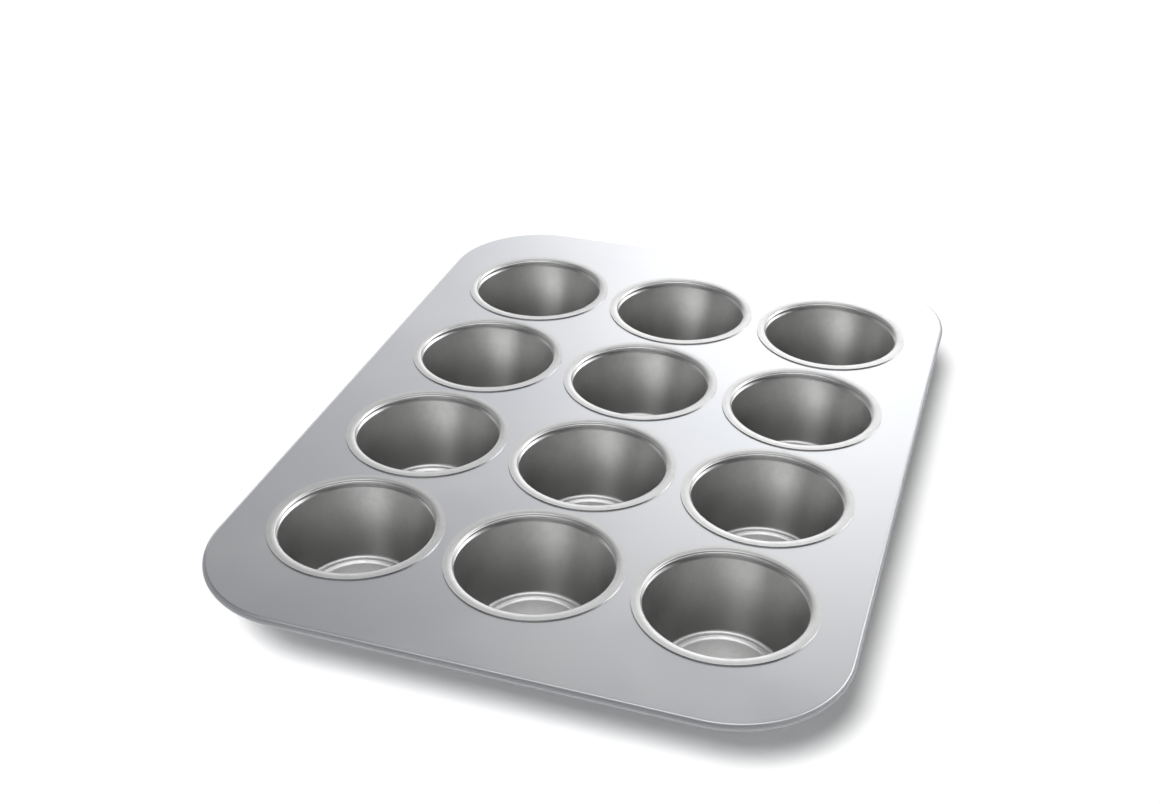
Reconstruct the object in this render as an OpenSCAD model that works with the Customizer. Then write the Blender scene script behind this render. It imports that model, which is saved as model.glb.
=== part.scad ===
// Muffin pan: twelve drawn cups locked into the holes of a flat sheet-metal frame with a curled rim.
// Millimetres. Z is up, the cups stand on Z = 0, X runs across the rows and Y runs from the front row to the back.

/* [Frame] */
// Width of flat sheet and rim from the flange of a row's last cup to the long side of the pan
side_margin = 20.9; // [14:0.1:32]
// Width of flat sheet and rim from the flange of a column's last cup to the short side of the pan
end_margin = 38.2; // [24:0.1:52]
// Radius of the four corners, over the curled rim
corner_radius = 60; // [30:1:80]
// Thickness of the frame's sheet
frame_sheet = 0.8; // [0.6:0.1:1.1]
// Outside diameter of the curled rim
rim_diameter = 4; // [3.4:0.1:5.5]
// How far round the edge is curled, from the flat sheet down, in and up again
rim_wrap = 285; // [200:5:295]

/* [Cup places] */
// Strip of frame that shows between the flanges of cups side by side in a row
column_gap = 5.4; // [2:0.1:20]
// Strip of frame that shows between the flanges of cups one behind the other
row_gap = 3.6; // [2:0.1:20]

/* [Cup] */
// Inside diameter of the neck, the narrowest part of the mouth
mouth_diameter = 81; // [70:0.5:100]
// Reach of the flat flange outwards from the inside of the neck
flange_width = 5.4; // [4.4:0.1:8]
// Inside depth, from the top of the flange down to the middle of the floor
cup_depth = 44; // [30:0.5:60]
// Thickness of the cup's sheet
cup_sheet = 0.6; // [0.4:0.1:0.7]
// Radius of the lip where the flange turns down into the neck, to the middle of the sheet
lip_radius = 0.8; // [0.5:0.1:1]
// Diameter of the corner between wall and floor before it is rounded, to the middle of the sheet
base_diameter = 62.6; // [50:0.2:68]
// Radius of the rounded corner between wall and floor, to the middle of the sheet
base_radius = 2.2; // [1.5:0.1:4]

/* [Floor] */
// Width of the flat ring between the wall's rounded corner and the step down to the floor's middle
ring_width = 1.7; // [0.6:0.1:5]
// Height by which that ring stands above the floor's middle
ring_rise = 0.9; // [0.6:0.1:2]
// Width of the sloping step before its bends are rounded
step_width = 1.2; // [1:0.1:3]
// Radius of the step's upper bend, at the ring, to the middle of the sheet
step_top_bend = 0.4; // [0.4:0.1:0.8]
// Radius of the step's lower bend, at the floor's middle, to the middle of the sheet
step_foot_bend = 3; // [0.6:0.1:3.2]

/* [Lock bead] */
// Reach of the bead outwards from the neck before its crest is rounded, to the middle of the sheet
bead_reach = 1.5; // [1.3:0.1:1.8]
// Height of the bead's upper flank, which tucks in under the frame
bead_upper_height = 1.1; // [0.8:0.1:1.4]
// Height of the bead's lower flank, which leads back to the wall
bead_lower_height = 1.6; // [1.2:0.1:3]
// Radius of the bead's rounded crest, to the middle of the sheet
bead_crest_bend = 0.6; // [0.5:0.1:0.8]
// Radius of the bends at the bead's two roots, to the middle of the sheet
bead_root_bend = 0.45; // [0.45:0.05:0.6]

/* [Fits] */
// Radial clearance between the foot of the cup's lip and the edge of the frame's hole
hole_clearance = 0.05; // [0.05:0.05:0.3]
// Clearance between the lower edge of the frame's hole and the bead's upper flank
bead_clearance = 0.25; // [0.1:0.05:0.3]

/* [Hidden] */
COLUMN_NAMES = ["left", "middle", "right"];
ROW_COUNT = 4;
$fn = 96;
// Largest step, in degrees, between the points of a bend
BEND_STEP = 9;

flange_diameter = mouth_diameter + 2 * flange_width;
column_pitch = flange_diameter + column_gap;
row_pitch = flange_diameter + row_gap;
frame_width = (len(COLUMN_NAMES) - 1) * column_pitch + flange_diameter + 2 * side_margin;
frame_length = (ROW_COUNT - 1) * row_pitch + flange_diameter + 2 * end_margin;

// The cup's sheet stands on its floor, and its flange lies on the frame
frame_top = cup_depth;
frame_underside = frame_top - frame_sheet;
rim_radius = rim_diameter / 2;
half_sheet = cup_sheet / 2;
neck_radius = mouth_diameter / 2 + half_sheet;
hole_radius = neck_radius + lip_radius + hole_clearance;

// Heights of the middle of the cup's sheet at each bend: the upper flank passes just below the hole's lower edge
flank_angle = atan2(bead_upper_height, bead_reach);
flange_z = frame_top + half_sheet;
bead_top_z = frame_underside - bead_clearance
    + (hole_radius - neck_radius) * tan(flank_angle)
    - half_sheet / cos(flank_angle);
bead_crest_z = bead_top_z - bead_upper_height;
bead_bottom_z = bead_crest_z - bead_lower_height;
floor_z = half_sheet;
ring_z = floor_z + ring_rise;

// The lip takes its full radius where the neck is long enough for it
bead_root_setback = bead_root_bend * tan((90 - flank_angle) / 2);
lip_bend = min(lip_radius, flange_z - bead_top_z - bead_root_setback);

// The step down to the floor's middle starts where the flat ring ends
wall_lean = atan2(neck_radius - base_diameter / 2, bead_bottom_z - ring_z);
base_setback = base_radius * tan((90 - wall_lean) / 2);
step_top_setback = step_top_bend * tan(atan2(ring_rise, step_width) / 2);
step_top_radius = base_diameter / 2 - base_setback - ring_width - step_top_setback;

// Each row is a corner of the cup's section before rounding: radius, height and the radius of its bend
CUP_BENDS = [
    [flange_diameter / 2, flange_z, 0],
    [neck_radius, flange_z, lip_bend],
    [neck_radius, bead_top_z, bead_root_bend],
    [neck_radius + bead_reach, bead_crest_z, bead_crest_bend],
    [neck_radius, bead_bottom_z, bead_root_bend],
    [base_diameter / 2, ring_z, base_radius],
    [step_top_radius, ring_z, step_top_bend],
    [step_top_radius - step_width, floor_z, step_foot_bend],
    [0, floor_z, 0]
];

function cup_name(row, column) = str("cup_row", row + 1, "_", COLUMN_NAMES[column]);

function cup_place(row, column) = [
    (column - (len(COLUMN_NAMES) - 1) / 2) * column_pitch,
    (row - (ROW_COUNT - 1) / 2) * row_pitch
];

function corner_at(bends, i) = [bends[i][0], bends[i][1]];

// Direction in which the line runs from corner i to the next one
function heading_at(bends, i) =
    let (run = corner_at(bends, i + 1) - corner_at(bends, i))
    atan2(run[1], run[0]);

// Signed angle by which the line turns at corner i, positive to the left
function turn_at(bends, i) =
    let (turn = heading_at(bends, i) - heading_at(bends, i - 1))
    turn > 180 ? turn - 360 : turn < -180 ? turn + 360 : turn;

// Points [place, heading] round the bend at corner i, from the end of one straight stretch to the start of the next
function bend_stations(bends, i) =
    let (
        radius = bends[i][2],
        before = heading_at(bends, i - 1),
        turn = turn_at(bends, i),
        setback = radius * tan(abs(turn) / 2),
        start = corner_at(bends, i) - setback * [cos(before), sin(before)],
        centre = start + sign(turn) * radius * [-sin(before), cos(before)],
        steps = ceil(abs(turn) / BEND_STEP)
    )
    [
        for (step = [0 : steps])
            let (heading = before + turn * step / steps)
            [centre + sign(turn) * radius * [sin(heading), -cos(heading)], heading]
    ];

// Points [place, heading] along the whole line, from its first corner to its last
function sheet_stations(bends) =
    let (last = len(bends) - 1)
    concat(
        [[corner_at(bends, 0), heading_at(bends, 0)]],
        [for (i = [1 : last - 1]) each bend_stations(bends, i)],
        [[corner_at(bends, last), heading_at(bends, last - 1)]]
    );

function beside(station, distance) = station[0] + distance * [-sin(station[1]), cos(station[1])];

// A sheet of even thickness bent along a line of corners, each rounded by its own radius
module bent_sheet(bends, sheet) {
    stations = sheet_stations(bends);
    last = len(stations) - 1;
    polygon(concat(
        [for (i = [0 : last]) beside(stations[i], sheet / 2)],
        [for (i = [last : -1 : 0]) beside(stations[i], -sheet / 2)]
    ));
}

// A rectangle with round corners, centred on the origin
module rounded_rectangle(width, length, radius) {
    square([width - 2 * radius, length], center = true);
    square([width, length - 2 * radius], center = true);
    for (x = [-1, 1], y = [-1, 1])
        translate([x * (width / 2 - radius), y * (length / 2 - radius)])
            circle(radius);
}

// The curl in section: x runs outwards from the middle of the curl, and the flat sheet ends above that middle
module rim_section() {
    open_angle = 360 - rim_wrap;
    open_reach = rim_radius * 2;
    translate([0, frame_top - rim_radius])
        difference() {
            circle(rim_radius);
            circle(rim_radius - frame_sheet);
            polygon([
                [0, 0],
                [0, open_reach],
                open_reach * [-sin(open_angle / 2), cos(open_angle / 2)] / cos(open_angle / 2),
                open_reach * [-sin(open_angle), cos(open_angle)]
            ]);
        }
}

// The curl carried round the frame: four straight sides and four quarter turns
module rim() {
    turn_radius = corner_radius - rim_radius;
    centre_x = frame_width / 2 - corner_radius;
    centre_y = frame_length / 2 - corner_radius;
    for (side = [0, 1]) {
        rotate(180 * side) {
            translate([centre_x + turn_radius, centre_y, 0])
                rotate([90, 0, 0])
                    linear_extrude(2 * centre_y)
                        rim_section();
            translate([-centre_x, centre_y + turn_radius, 0])
                rotate([90, 0, 90])
                    linear_extrude(2 * centre_x)
                        rim_section();
            translate([centre_x, centre_y, 0])
                rotate_extrude(angle = 90)
                    translate([turn_radius, 0])
                        rim_section();
            translate([-centre_x, centre_y, 0])
                rotate(90)
                    rotate_extrude(angle = 90)
                        translate([turn_radius, 0])
                            rim_section();
        }
    }
}

// The flat sheet up to the middle of the curl, with a round hole for each cup
module frame_panel() {
    translate([0, 0, frame_underside])
        linear_extrude(frame_sheet)
            difference() {
                rounded_rectangle(
                    frame_width - rim_diameter,
                    frame_length - rim_diameter,
                    corner_radius - rim_radius
                );
                for (row = [0 : ROW_COUNT - 1], column = [0 : len(COLUMN_NAMES) - 1])
                    translate(cup_place(row, column))
                        circle(hole_radius);
            }
}

module frame() {
    color("lightsteelblue") {
        frame_panel();
        rim();
    }
}

module cup(row, column) {
    color("silver")
        translate(cup_place(row, column))
            rotate_extrude()
                bent_sheet(CUP_BENDS, cup_sheet);
}

frame();
for (row = [0 : ROW_COUNT - 1], column = [0 : len(COLUMN_NAMES) - 1])
    cup(row, column);
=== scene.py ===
"""Muffin pan: twelve drawn cups locked into a flat sheet-metal frame with a curled rim.

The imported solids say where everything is. Each of them is drawn again here as a bent sheet of even
thickness, with finer bends than the solids' meshes have, and gets its metal finish.
"""

from __future__ import annotations

import logging
import math
from dataclasses import dataclass, field
from enum import Enum

import bmesh
import bpy
from mathutils import Matrix, Vector


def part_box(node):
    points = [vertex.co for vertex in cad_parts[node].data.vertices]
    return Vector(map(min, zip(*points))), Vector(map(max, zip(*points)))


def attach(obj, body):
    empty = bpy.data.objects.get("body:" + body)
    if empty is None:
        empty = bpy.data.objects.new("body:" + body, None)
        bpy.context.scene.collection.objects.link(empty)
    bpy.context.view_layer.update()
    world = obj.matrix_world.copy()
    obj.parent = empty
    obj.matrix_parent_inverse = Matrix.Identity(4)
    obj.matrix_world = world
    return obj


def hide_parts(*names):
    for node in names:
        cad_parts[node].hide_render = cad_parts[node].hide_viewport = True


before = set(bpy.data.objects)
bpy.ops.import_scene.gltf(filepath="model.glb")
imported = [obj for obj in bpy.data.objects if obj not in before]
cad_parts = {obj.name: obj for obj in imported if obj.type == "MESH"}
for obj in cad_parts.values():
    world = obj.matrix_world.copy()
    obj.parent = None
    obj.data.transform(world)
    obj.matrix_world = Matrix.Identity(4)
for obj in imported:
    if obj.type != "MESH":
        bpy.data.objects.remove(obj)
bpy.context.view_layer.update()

MM = 0.001
SAME_PLACE = 0.002 * MM
MERGE_DISTANCE = 0.0005 * MM
UP = (0.0, 0.0, 1.0)
LOG = logging.getLogger("muffin_pan")


class Slot(Enum):
    """The record's material slots."""

    FRAME = "frame_sheet"
    CUP = "cup_sheet"


class Side(Enum):
    """The places of the three cups in a row, with the column that each stands in."""

    LEFT = -1
    MIDDLE = 0
    RIGHT = 1


@dataclass(frozen=True)
class Photo:
    """The photograph's frame and the camera that was fitted to it."""

    width_px: int = 1160
    height_px: int = 804
    focal_px: float = 1577.5
    axis_px: tuple[float, float] = (552.4, 329.6)
    place_m: tuple[float, float, float] = (0.2100, -0.7420, 0.5182)
    turn_deg: tuple[float, float, float] = (61.64, -0.27, 18.73)
    sensor_mm: float = 36.0

    def take(self) -> bpy.types.Object:
        """Makes the scene's camera.

        Returns:
            The camera's object.
        """
        data = bpy.data.cameras.new("camera")
        data.sensor_width = self.sensor_mm
        data.lens = self.focal_px * self.sensor_mm / self.width_px
        data.shift_x = (self.width_px / 2 - self.axis_px[0]) / self.width_px
        data.shift_y = (self.axis_px[1] - self.height_px / 2) / self.width_px
        camera = bpy.data.objects.new("camera", data)
        camera.location = self.place_m
        camera.rotation_euler = [math.radians(angle) for angle in self.turn_deg]
        bpy.context.scene.collection.objects.link(camera)
        bpy.context.scene.camera = camera
        return camera


class Value:
    """A number that varies over a surface, on which Python's operators add Math nodes."""

    def __init__(self, tree: Tree, socket: bpy.types.NodeSocket) -> None:
        """Wraps an output socket of the tree."""
        self.tree = tree
        self.socket = socket

    def __add__(self, other: Value | float) -> Value:
        """Sum."""
        return self.tree.maths("ADD", self, other)

    def __radd__(self, other: float) -> Value:
        """Sum with a plain number first."""
        return self.tree.maths("ADD", other, self)

    def __sub__(self, other: Value | float) -> Value:
        """Difference."""
        return self.tree.maths("SUBTRACT", self, other)

    def __rsub__(self, other: float) -> Value:
        """Difference from a plain number."""
        return self.tree.maths("SUBTRACT", other, self)

    def __mul__(self, other: Value | float) -> Value:
        """Product."""
        return self.tree.maths("MULTIPLY", self, other)

    def __truediv__(self, other: Value | float) -> Value:
        """Quotient."""
        return self.tree.maths("DIVIDE", self, other)


class Tree:
    """A node tree that is being filled."""

    def __init__(self, owner: bpy.types.Material | bpy.types.World) -> None:
        """Turns the owner's nodes on and empties them."""
        owner.use_nodes = True
        self.nodes = owner.node_tree.nodes
        self.links = owner.node_tree.links
        self.nodes.clear()

    def node(self, kind: str, settings: dict[str, object] | None = None,
             inputs: dict[str | int, object] | None = None) -> bpy.types.Node:
        """Adds one node.

        Args:
            kind: The node's type.
            settings: Its properties, which are set first.
            inputs: Values or links of its sockets, by name or number.

        Returns:
            The node.
        """
        made = self.nodes.new(kind)
        for name, setting in (settings or {}).items():
            setattr(made, name, setting)
        for key, source in (inputs or {}).items():
            socket = made.inputs[key]
            if isinstance(source, Value):
                self.links.new(source.socket, socket)
            elif isinstance(source, bpy.types.NodeSocket):
                self.links.new(source, socket)
            else:
                socket.default_value = source
        return made

    def maths(self, operation: str, *terms: Value | float) -> Value:
        """Adds a Math node on the terms and returns its result."""
        made = self.node("ShaderNodeMath", {"operation": operation}, dict(enumerate(terms)))
        return Value(self, made.outputs[0])

    def ramp(self, value: Value, low: float, high: float, start: float = 0.0,
             end: float = 1.0) -> Value:
        """Carries a value smoothly from one range to another.

        Args:
            value: The value that is read.
            low: Where the ramp starts.
            high: Where the ramp ends.
            start: The result at and before low.
            end: The result at and after high.

        Returns:
            The result, clamped to the two ends.
        """
        made = self.node(
            "ShaderNodeMapRange",
            {"interpolation_type": "SMOOTHSTEP"},
            {"Value": value, "From Min": low, "From Max": high, "To Min": start, "To Max": end},
        )
        return Value(self, made.outputs["Result"])

    def noise(self, vector: bpy.types.NodeSocket, scale: float, detail: float = 2.0,
              roughness: float = 0.5) -> Value:
        """Adds a noise of about 0 to 1 over the vector and returns it."""
        made = self.node(
            "ShaderNodeTexNoise",
            {"noise_dimensions": "3D"},
            {"Vector": vector, "Scale": scale, "Detail": detail, "Roughness": roughness},
        )
        return Value(self, made.outputs["Fac"])

    def vector(self, x: Value | float, y: Value | float, z: Value | float) -> bpy.types.NodeSocket:
        """Joins three values to a vector and returns its socket."""
        return self.node("ShaderNodeCombineXYZ", None, {0: x, 1: y, 2: z}).outputs[0]

    def blend(self, factor: Value | float, first: object, second: object) -> bpy.types.NodeSocket:
        """Mixes two colours and returns the result's socket."""
        # The node has sockets for each kind of data, and colours use the ones numbered here
        made = self.node("ShaderNodeMix", {"data_type": "RGBA"}, {0: factor, 6: first, 7: second})
        return made.outputs[2]

    def bump(self, height: Value) -> bpy.types.NodeSocket:
        """Turns a height in metres into a bumped normal and returns its socket."""
        made = self.node("ShaderNodeBump", None, {"Height": height, "Distance": 1.0})
        return made.outputs["Normal"]

    def background(self, strength: Value | float) -> bpy.types.NodeSocket:
        """Makes a neutral background of the given strength and returns its shader."""
        made = self.node("ShaderNodeBackground", None, {"Color": grey(1.0), "Strength": strength})
        return made.outputs[0]

    def mix(self, factor: Value | bpy.types.NodeSocket, first: bpy.types.NodeSocket,
            second: bpy.types.NodeSocket) -> bpy.types.NodeSocket:
        """Mixes two shaders and returns the result's socket."""
        made = self.node("ShaderNodeMixShader", None, {0: factor, 1: first, 2: second})
        return made.outputs[0]

    def surface(self, shader: bpy.types.NodeSocket) -> None:
        """Makes a shader the surface of the material."""
        self.node("ShaderNodeOutputMaterial", None, {"Surface": shader})


def grey(level: float) -> tuple[float, float, float, float]:
    """A neutral colour of the given level."""
    return (level, level, level, 1.0)


@dataclass(frozen=True)
class FramePolish:
    """The frame's finish: smooth rolled sheet, faintly cloudy and bluish, and duller on the rim.

    The rim's finish, rougher and with painted shade darkening its colour, starts at the first of the
    rim's depths below the frame's top, and is full at the second.
    """

    frame_top: float
    bright: tuple[float, float, float, float] = (0.70, 0.71, 0.73, 1.0)
    dull: tuple[float, float, float, float] = (0.63, 0.645, 0.68, 1.0)
    roughness: float = 0.28
    # Painted shade: the rim's darker colour stands in for the shade on the curl
    rim_painted_shade_colour: tuple[float, float, float, float] = (0.60, 0.61, 0.63, 1.0)
    rim_roughness: float = 0.85
    rim_depths: tuple[float, float] = (0.02 * MM, 0.4 * MM)
    cloud_scale: float = 9.0
    cloud_range: tuple[float, float] = (0.35, 0.65)
    cloud_roughness: float = 0.03
    wave_scale: float = 7.0
    wave_height: float = 0.04 * MM

    def material(self) -> bpy.types.Material:
        """Makes the frame's material.

        Returns:
            The material.
        """
        made = bpy.data.materials.new("frame sheet")
        tree = Tree(made)
        place = tree.node("ShaderNodeTexCoord").outputs["Object"]
        cloud = tree.ramp(tree.noise(place, self.cloud_scale, detail=3.0), *self.cloud_range)
        wave = tree.noise(place, self.wave_scale, detail=1.0)
        z = Value(tree, tree.node("ShaderNodeSeparateXYZ", None, {0: place}).outputs["Z"])
        on_rim = tree.ramp(z, *(self.frame_top - depth for depth in self.rim_depths))
        sheet_colour = tree.blend(cloud, self.dull, self.bright)
        roughness = self.roughness + on_rim * (self.rim_roughness - self.roughness)
        shader = tree.node(
            "ShaderNodeBsdfPrincipled",
            None,
            {
                # Painted shade: the rim gets a darker colour than the sheet
                "Base Color": tree.blend(on_rim, sheet_colour, self.rim_painted_shade_colour),
                "Metallic": 1.0,
                "Roughness": roughness + cloud * self.cloud_roughness,
                "Normal": tree.bump(wave * self.wave_height),
            },
        )
        tree.surface(shader.outputs[0])
        return made


@dataclass(frozen=True)
class CupSatin:
    """The cups' finish: satin sheet, darker down the wall, with a flange softly rolled to the neck.

    The darkening down the wall is painted shade, and the floor's lighter colour is painted light.
    A pair of heights says where a finish starts and where it is full. The flange's heights are
    counted from the frame's top, the floor's from the top of the floor's ring and the wall's from
    the ground.
    """

    column_pitch: float
    row_pitch: float
    frame_top: float
    floor_top: float
    neck_radius: float = 40.5 * MM
    roll_reach: float = 3.4 * MM
    roll_fall: float = 0.55 * MM
    flange_heights: tuple[float, float] = (-0.6 * MM, 0.2 * MM)
    floor_heights: tuple[float, float] = (1.2 * MM, 0.2 * MM)
    wall_heights: tuple[float, float] = (4.0 * MM, 34.0 * MM)
    wall_colour: tuple[float, float, float, float] = (0.85, 0.85, 0.845, 1.0)
    # Painted shade: the lower wall is darkened to stand in for the shade deep in the cup
    low_wall_painted_shade: tuple[float, float, float, float] = (0.36, 0.36, 0.355, 1.0)
    flange_colour: tuple[float, float, float, float] = grey(0.72)
    # Painted light: the cup's floor is lighter than the wall, standing in for light from above
    floor_colour: tuple[float, float, float, float] = grey(0.92)
    mottle_colour: tuple[float, float, float, float] = grey(0.35)
    wall_roughness: float = 0.32
    flange_roughness: float = 0.36
    floor_roughness: float = 0.40
    mottle_roughness: float = 0.08
    mottle_scale: float = 260.0
    mottle_range: tuple[float, float] = (0.4, 0.75)
    mottle_share: float = 0.10
    mottle_height: float = 0.004 * MM
    grain_scale: float = 1500.0
    grain_height: float = 0.0016 * MM
    streak_turn: float = 40.0
    streak_scale: float = 60.0
    streak_height: float = 0.0015 * MM
    ring_turn: float = 0.8
    ring_scale: float = 6000.0
    ring_height: float = 0.0012 * MM

    def material(self) -> bpy.types.Material:
        """Makes the cups' material, which finds the nearest cup's axis by the grid of places.

        Returns:
            The material.
        """
        made = bpy.data.materials.new("cup sheet")
        tree = Tree(made)
        place = tree.node("ShaderNodeTexCoord").outputs["Object"]
        parts = tree.node("ShaderNodeSeparateXYZ", None, {0: place}).outputs
        x, y, z = (Value(tree, parts[axis]) for axis in range(3))
        across = x - tree.maths("ROUND", x / self.column_pitch) * self.column_pitch
        # The count of rows is even, so the rows lie half a pitch from the pan's middle
        along = y - (tree.maths("FLOOR", y / self.row_pitch) + 0.5) * self.row_pitch
        radius = tree.maths("SQRT", across * across + along * along)
        angle = tree.maths("ARCTAN2", along, across)
        on_flange = tree.ramp(z, *(self.frame_top + height for height in self.flange_heights))
        on_floor = tree.ramp(z, *(self.floor_top + height for height in self.floor_heights))
        wall_shade_fade = tree.ramp(z, *self.wall_heights)
        mottle = tree.noise(place, self.mottle_scale, detail=3.0, roughness=0.6)
        mottled = tree.ramp(mottle, *self.mottle_range, 0.0, self.mottle_share)
        # Painted shade: the wall darkens from its own colour towards the bottom of the cup
        colour = tree.blend(wall_shade_fade, self.low_wall_painted_shade, self.wall_colour)
        # Painted light: the cup's floor gets a lighter colour than the wall
        colour = tree.blend(on_floor, colour, self.floor_colour)
        colour = tree.blend(on_flange, colour, self.flange_colour)
        roughness = (
            self.wall_roughness
            + on_flange * (self.flange_roughness - self.wall_roughness)
            + on_floor * (self.floor_roughness - self.wall_roughness)
            + mottle * self.mottle_roughness
        )
        marks = self.texture(tree, place, radius, angle, z, on_flange)
        shader = tree.node(
            "ShaderNodeBsdfPrincipled",
            None,
            {
                "Base Color": tree.blend(mottled, colour, self.mottle_colour),
                "Metallic": 1.0,
                "Roughness": roughness,
                "Normal": tree.bump(marks + mottle * self.mottle_height),
            },
        )
        tree.surface(shader.outputs[0])
        return made

    def texture(self, tree: Tree, place: bpy.types.NodeSocket, radius: Value, angle: Value,
                z: Value, on_flange: Value) -> Value:
        """Adds up the fine marks of drawing and turning, and the flange's soft roll to the neck.

        Args:
            tree: The material's node tree.
            place: The point on the surface.
            radius: Its distance from the cup's axis.
            angle: Its angle round that axis.
            z: Its height.
            on_flange: 1 on the flange and 0 below it.

        Returns:
            The height of the marks in metres.
        """
        grain = tree.noise(place, self.grain_scale)
        drawn = (angle * self.streak_turn, z * self.streak_scale, radius * self.streak_scale)
        streaks = tree.noise(tree.vector(*drawn), scale=1.0)
        turned = (radius * self.ring_scale, angle * self.ring_turn, 0.0)
        rings = tree.noise(tree.vector(*turned), scale=1.0)
        inwards = tree.maths("MAXIMUM", 1.0 - (radius - self.neck_radius) / self.roll_reach, 0.0)
        roll = inwards * inwards * self.roll_fall
        marks = grain * self.grain_height + streaks * self.streak_height
        return marks + (rings * self.ring_height - roll) * on_flange


@dataclass
class SheetPiece:
    """A pressed piece of sheet, drawn as the surface in its middle and then given its thickness."""

    node: str
    thickness: float
    slot: Slot
    material: bpy.types.Material
    smooth_deg: float = 40.0

    def finish(self, mesh: bmesh.types.BMesh) -> bpy.types.Object:
        """Merges the mesh's seams, gives it thickness and finish, and puts it in its node's place.

        Args:
            mesh: The middle surface, in the pan's own frame.

        Returns:
            The finished piece.
        """
        bmesh.ops.remove_doubles(mesh, verts=mesh.verts, dist=MERGE_DISTANCE)
        bmesh.ops.recalc_face_normals(mesh, faces=mesh.faces)
        surface = bpy.data.meshes.new(f"{self.node}_surface")
        mesh.to_mesh(surface)
        mesh.free()
        piece = bpy.data.objects.new(f"{self.node}_pressing", surface)
        bpy.context.scene.collection.objects.link(piece)
        sheet = piece.modifiers.new("sheet", "SOLIDIFY")
        sheet.thickness = self.thickness
        sheet.offset = 0.0
        sheet.use_even_offset = True
        thickened = piece.evaluated_get(bpy.context.evaluated_depsgraph_get())
        data = bpy.data.meshes.new_from_object(thickened)
        data.name = f"{self.node}_pressing"
        piece.modifiers.remove(sheet)
        piece.data = data
        bpy.data.meshes.remove(surface)
        data.materials.append(self.material)
        data.shade_smooth()
        data.set_sharp_from_angle(angle=math.radians(self.smooth_deg))
        flats = piece.modifiers.new("flat faces", "WEIGHTED_NORMAL")
        flats.mode = "FACE_AREA"
        flats.weight = 100
        flats.keep_sharp = True
        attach(piece, "root")
        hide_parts(self.node)
        return piece


@dataclass(frozen=True)
class Bend:
    """A corner of a sheet's section, in mm: distance from the axis, height and rounding radius."""

    radius: float
    height: float
    bend: float = 0.0


@dataclass
class Cup(SheetPiece):
    """One drawn cup: flange, lip, neck, lock bead, tapered wall, round corner and stepped floor."""

    centre: tuple[float, float] = (0.0, 0.0)
    turns: int = 128
    bend_step_deg: float = 8.0
    bend_least_steps: int = 3
    section: tuple[Bend, ...] = (
        Bend(45.90, 44.30),  # edge of the flange
        Bend(40.80, 44.30, 0.80),  # lip
        Bend(40.80, 42.83, 0.45),  # top of the lock bead
        Bend(42.30, 41.73, 0.60),  # crest of the lock bead
        Bend(40.80, 40.13, 0.45),  # foot of the lock bead
        Bend(31.30, 1.20, 2.20),  # round corner at the foot of the wall
        Bend(27.74, 1.20, 0.40),  # inner edge of the floor's ring
        Bend(26.54, 0.30, 3.00),  # edge of the floor's middle
        Bend(0.00, 0.30),  # middle of the floor
    )

    def build(self) -> bpy.types.Object:
        """Spins the section round the cup's axis and rounds its bends.

        Returns:
            The finished cup.
        """
        mesh = bmesh.new()
        corners = [
            mesh.verts.new((bend.radius * MM, 0.0, bend.height * MM)) for bend in self.section
        ]
        lines = [mesh.edges.new(pair) for pair in zip(corners, corners[1:])]
        bmesh.ops.spin(mesh, geom=corners + lines, cent=(0.0, 0.0, 0.0), axis=UP, angle=math.tau,
                       steps=self.turns, use_merge=True)
        bmesh.ops.remove_doubles(mesh, verts=mesh.verts, dist=MERGE_DISTANCE)
        for before, corner, after in zip(self.section, self.section[1:], self.section[2:]):
            self.round_ring(mesh, before, corner, after)
        bmesh.ops.translate(mesh, verts=mesh.verts, vec=(*self.centre, 0.0))
        return self.finish(mesh)

    def round_ring(self, mesh: bmesh.types.BMesh, before: Bend, corner: Bend, after: Bend) -> None:
        """Rounds the ring of edges that one corner of the section has become.

        Args:
            mesh: The spun surface, still about the origin.
            before: The corner before it.
            corner: The corner that is rounded.
            after: The corner after it.
        """
        arriving = math.atan2(corner.height - before.height, corner.radius - before.radius)
        leaving = math.atan2(after.height - corner.height, after.radius - corner.radius)
        turn = abs((leaving - arriving + math.pi) % math.tau - math.pi)
        ring = [
            edge for edge in mesh.edges if all(self.is_at(vertex, corner) for vertex in edge.verts)
        ]
        bmesh.ops.bevel(
            mesh,
            geom=ring,
            offset=corner.bend * math.tan(turn / 2) * MM,
            offset_type="OFFSET",
            segments=max(self.bend_least_steps, round(math.degrees(turn) / self.bend_step_deg)),
            profile=0.5,
            affect="EDGES",
            material=-1,
            clamp_overlap=False,
        )

    @staticmethod
    def is_at(vertex: bmesh.types.BMVert, corner: Bend) -> bool:
        """Tells whether a vertex lies on a corner's ring."""
        away = abs(vertex.co.xy.length - corner.radius * MM)
        return away < SAME_PLACE and abs(vertex.co.z - corner.height * MM) < SAME_PLACE


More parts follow.
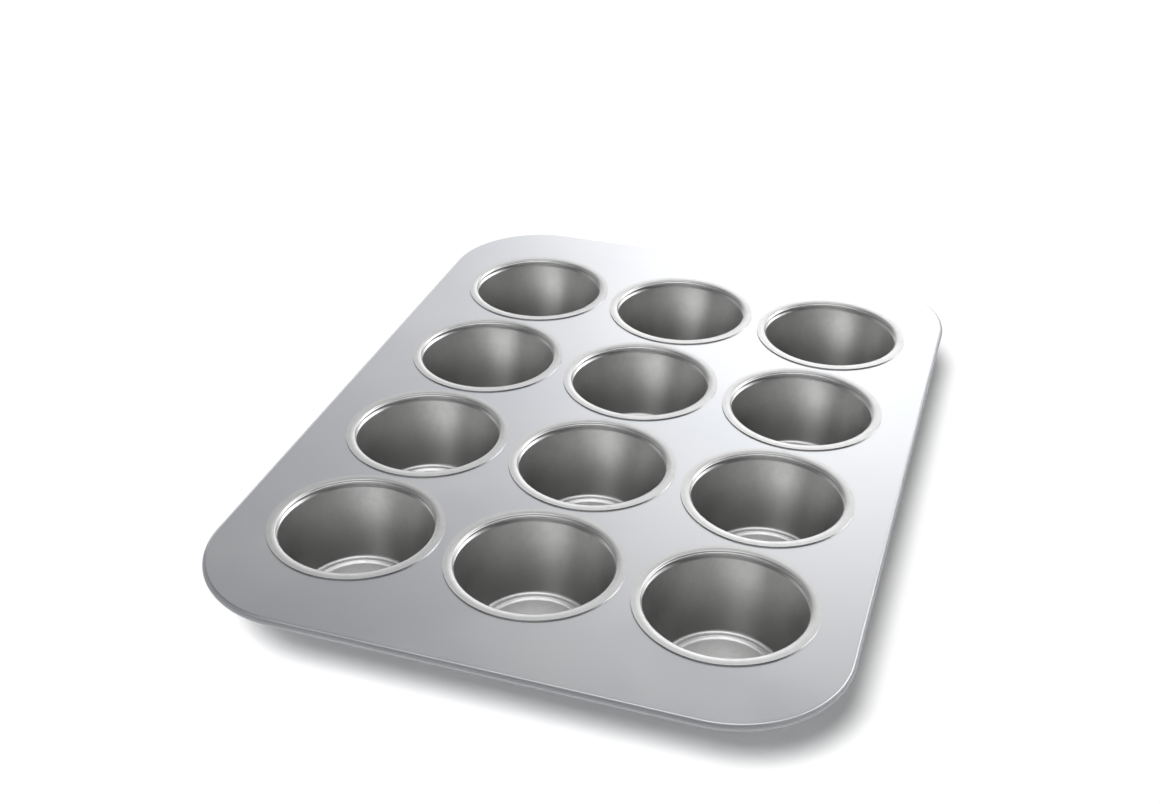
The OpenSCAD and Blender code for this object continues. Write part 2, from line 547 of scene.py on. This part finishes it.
@dataclass
class FrameSheet(SheetPiece):
    """The frame: a flat sheet with a hole for each cup, and its edge curled down and in again."""

    width: float = 328.0 * MM
    length: float = 454.4 * MM
    top: float = 44.0 * MM
    corner_radius: float = 60.0 * MM
    rim_radius: float = 2.0 * MM
    rim_wrap_deg: float = 285.0
    rim_steps: int = 32
    corner_steps: int = 32
    hole_radius: float = 41.65 * MM
    hole_points: int = 128
    hole_places: list[tuple[float, float]] = field(default_factory=list)

    def build(self) -> bpy.types.Object:
        """Sweeps the curl round the outline and fills the flat sheet inside it.

        Returns:
            The finished frame.
        """
        mesh = bmesh.new()
        self.sweep_curl(mesh)
        bmesh.ops.remove_doubles(mesh, verts=mesh.verts, dist=MERGE_DISTANCE)
        self.fill_sheet(mesh)
        return self.finish(mesh)

    def sweep_curl(self, mesh: bmesh.types.BMesh) -> None:
        """Draws the curl's section at the front of the right side and carries it round."""
        middle_z = self.top - self.thickness / 2
        curl_radius = self.rim_radius - self.thickness / 2
        centre_x = self.width / 2 - self.corner_radius
        centre_y = self.length / 2 - self.corner_radius
        start = mesh.verts.new((self.width / 2 - self.rim_radius, -centre_y, middle_z))
        curl_axis = Vector((start.co.x, start.co.y, middle_z - curl_radius))
        bmesh.ops.spin(mesh, geom=[start], cent=curl_axis, axis=(0.0, 1.0, 0.0),
                       angle=math.radians(self.rim_wrap_deg), steps=self.rim_steps, use_merge=False)
        section = list(mesh.verts) + list(mesh.edges)
        sides = (
            ((0.0, 2 * centre_y, 0.0), (centre_x, centre_y)),
            ((-2 * centre_x, 0.0, 0.0), (-centre_x, centre_y)),
            ((0.0, -2 * centre_y, 0.0), (-centre_x, -centre_y)),
            ((2 * centre_x, 0.0, 0.0), (centre_x, -centre_y)),
        )
        for run, corner in sides:
            edges = [item for item in section if isinstance(item, bmesh.types.BMEdge)]
            carried = bmesh.ops.extrude_edge_only(mesh, edges=edges)["geom"]
            moved = [item for item in carried if isinstance(item, bmesh.types.BMVert)]
            bmesh.ops.translate(mesh, verts=moved, vec=run)
            ends = [item for item in carried if isinstance(item, bmesh.types.BMEdge)
                    and all(vertex in moved for vertex in item.verts)]
            turned = bmesh.ops.spin(mesh, geom=moved + ends, cent=(*corner, 0.0), axis=UP,
                                    angle=math.pi / 2, steps=self.corner_steps, use_merge=False)
            section = turned["geom_last"]

    def fill_sheet(self, mesh: bmesh.types.BMesh) -> None:
        """Fills the flat sheet between the curl and the holes."""
        middle_z = self.top - self.thickness / 2
        outline = [
            edge for edge in mesh.edges
            if edge.is_boundary
            and all(abs(vertex.co.z - middle_z) < SAME_PLACE for vertex in edge.verts)
        ]
        for x, y in self.hole_places:
            ring = bmesh.ops.create_circle(mesh, cap_ends=False, segments=self.hole_points,
                                           radius=self.hole_radius,
                                           matrix=Matrix.Translation((x, y, middle_z)))
            mesh.edges.index_update()
            outline += sorted({edge for vertex in ring["verts"] for edge in vertex.link_edges},
                              key=lambda edge: edge.index)
        bmesh.ops.triangle_fill(mesh, use_beauty=True, use_dissolve=False, edges=outline, normal=UP)


@dataclass
class MuffinPan:
    """The whole pan: the frame and the grid of cups."""

    column_pitch: float = 97.2 * MM
    row_pitch: float = 95.4 * MM
    rows: int = 4
    frame_thickness: float = 0.8 * MM
    cup_thickness: float = 0.6 * MM
    floor_top: float = 1.5 * MM

    def place(self, row: int, side: Side) -> tuple[float, float]:
        """Centre of the cup in a row, counted from 1 at the front, and on a side."""
        return side.value * self.column_pitch, (row - (self.rows + 1) / 2) * self.row_pitch

    def build(self) -> list[bpy.types.Object]:
        """Builds the frame and the cups.

        Returns:
            The finished pieces.
        """
        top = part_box("frame")[1].z
        places = [(row, side) for row in range(1, self.rows + 1) for side in Side]
        polish = FramePolish(top).material()
        satin = CupSatin(self.column_pitch, self.row_pitch, top, self.floor_top).material()
        holes = [self.place(row, side) for row, side in places]
        sheet = FrameSheet("frame", self.frame_thickness, Slot.FRAME, polish, top=top,
                           hole_places=holes)
        pieces = [sheet.build()]
        for row, side in places:
            name = f"cup_row{row}_{side.name.lower()}"
            cup = Cup(name, self.cup_thickness, Slot.CUP, satin, centre=self.place(row, side))
            pieces.append(cup.build())
        return pieces


@dataclass(frozen=True)
class Glow:
    """A soft round patch of light in the studio's surroundings, as shiny surfaces reflect it.

    The bearing is counted from straight behind the pan to the right. The edge says where the light
    starts to fall off and where it ends, counted from the middle of the patch.
    """

    bearing_deg: float
    height_deg: float
    level: float
    edge_deg: tuple[float, float] = (5.0, 35.0)

    def strength(self, tree: Tree, direction: bpy.types.NodeSocket) -> Value:
        """Gives the patch's light in the direction of a ray.

        Args:
            tree: The world's node tree.
            direction: The ray's direction.

        Returns:
            The strength, from the patch's level down to 0.
        """
        bearing, height = math.radians(self.bearing_deg), math.radians(self.height_deg)
        level_part = math.cos(height)
        middle = (level_part * math.sin(bearing), level_part * math.cos(bearing), math.sin(height))
        facing = tree.node("ShaderNodeVectorMath", {"operation": "DOT_PRODUCT"},
                           {0: direction, 1: middle})
        away = tree.maths("ARCCOSINE", Value(tree, facing.outputs["Value"]))
        near, far = (math.radians(angle) for angle in self.edge_deg)
        return tree.ramp(away, near, far, self.level, 0.0)


@dataclass(frozen=True)
class Studio:
    """A white floor, a broad lamp in front, and dim surroundings with soft patches of light."""

    dim_level: float = 0.05
    glows: tuple[Glow, ...] = (
        Glow(-4.0, 22.0, 1.85, (2.0, 21.0)),
        Glow(-18.0, 24.0, 0.80, (2.0, 34.0)),
        Glow(-42.0, 4.0, 1.70, (3.0, 25.0)),
        Glow(35.0, 8.0, 0.30, (3.0, 28.0)),
        Glow(-4.0, 2.0, 0.45, (3.0, 25.0)),
        Glow(-90.0, 4.0, 0.90, (3.0, 25.0)),
        Glow(-85.0, 32.0, 0.30),
        Glow(44.0, 35.0, 3.90, (4.0, 30.0)),
        Glow(0.0, 89.0, 2.20),
        Glow(176.0, 15.0, 0.30, (15.0, 60.0)),
    )
    fill_level: float = 0.25
    floor_colour: float = 0.95
    floor_lift: float = 0.05
    floor_width: float = 12.0
    key_watts: float = 3.0
    key_from: tuple[float, float, float] = (-0.09, -0.70, 1.0)
    key_angle_deg: float = 18.0

    def build(self) -> None:
        """Sets the sky, the floor, the main lamp and the colour handling."""
        bpy.context.scene.view_settings.view_transform = "Standard"
        self.sky()
        self.floor()
        self.key()

    def key(self) -> None:
        """Sets the broad, distant main lamp."""
        data = bpy.data.lights.new("key", "SUN")
        data.energy = self.key_watts
        data.angle = math.radians(self.key_angle_deg)
        lamp = bpy.data.objects.new("key", data)
        lamp.visible_glossy = False
        lamp.rotation_euler = (-Vector(self.key_from)).to_track_quat("-Z", "Y").to_euler()
        bpy.context.scene.collection.objects.link(lamp)

    def sky(self) -> None:
        """Sets the world: white to the eye, grey to matt surfaces, soft patches to shiny ones."""
        world = bpy.data.worlds.new("studio")
        bpy.context.scene.world = world
        tree = Tree(world)
        direction = tree.node("ShaderNodeTexCoord").outputs["Generated"]
        glow = sum((patch.strength(tree, direction) for patch in self.glows), self.dim_level)
        rays = tree.node("ShaderNodeLightPath").outputs
        fill = tree.background(self.fill_level)
        shine = tree.background(glow)
        white = tree.background(1.0)
        lit = tree.mix(rays["Is Glossy Ray"], fill, shine)
        seen = tree.mix(rays["Is Camera Ray"], lit, white)
        tree.node("ShaderNodeOutputWorld", None, {"Surface": seen})

    def floor(self) -> None:
        """Lays the floor, one large square under the pan."""
        mesh = bmesh.new()
        bmesh.ops.create_grid(mesh, x_segments=1, y_segments=1, size=self.floor_width / 2)
        data = bpy.data.meshes.new("floor")
        mesh.to_mesh(data)
        mesh.free()
        data.materials.append(self.floor_material())
        floor = bpy.data.objects.new("floor", data)
        bpy.context.scene.collection.objects.link(floor)

    def floor_material(self) -> bpy.types.Material:
        """Makes the floor's material, which takes the pan's shadow and looks white elsewhere.

        Returns:
            The material.
        """
        made = bpy.data.materials.new("floor")
        tree = Tree(made)
        matt = tree.node("ShaderNodeBsdfDiffuse", None, {"Color": grey(self.floor_colour)})
        light = {"Color": grey(1.0), "Strength": self.floor_lift}
        lift = tree.node("ShaderNodeEmission", None, light)
        lifted = tree.node("ShaderNodeAddShader", None, {0: matt.outputs[0], 1: lift.outputs[0]})
        rays = tree.node("ShaderNodeLightPath").outputs
        kinds = ("Is Camera Ray", "Is Glossy Ray", "Is Transmission Ray")
        seen, mirrored, passed = (Value(tree, rays[kind]) for kind in kinds)
        tree.surface(tree.mix(seen + mirrored + passed, matt.outputs[0], lifted.outputs[0]))
        return made


def main() -> None:
    """Builds the camera, the pan and the studio, and reports each piece."""
    logging.basicConfig(level=logging.INFO, format="%(name)s: %(message)s")
    Photo().take()
    for piece in MuffinPan().build():
        LOG.info("%s: %d faces", piece.name, len(piece.data.polygons))
    Studio().build()


if __name__ == "__main__":
    main()
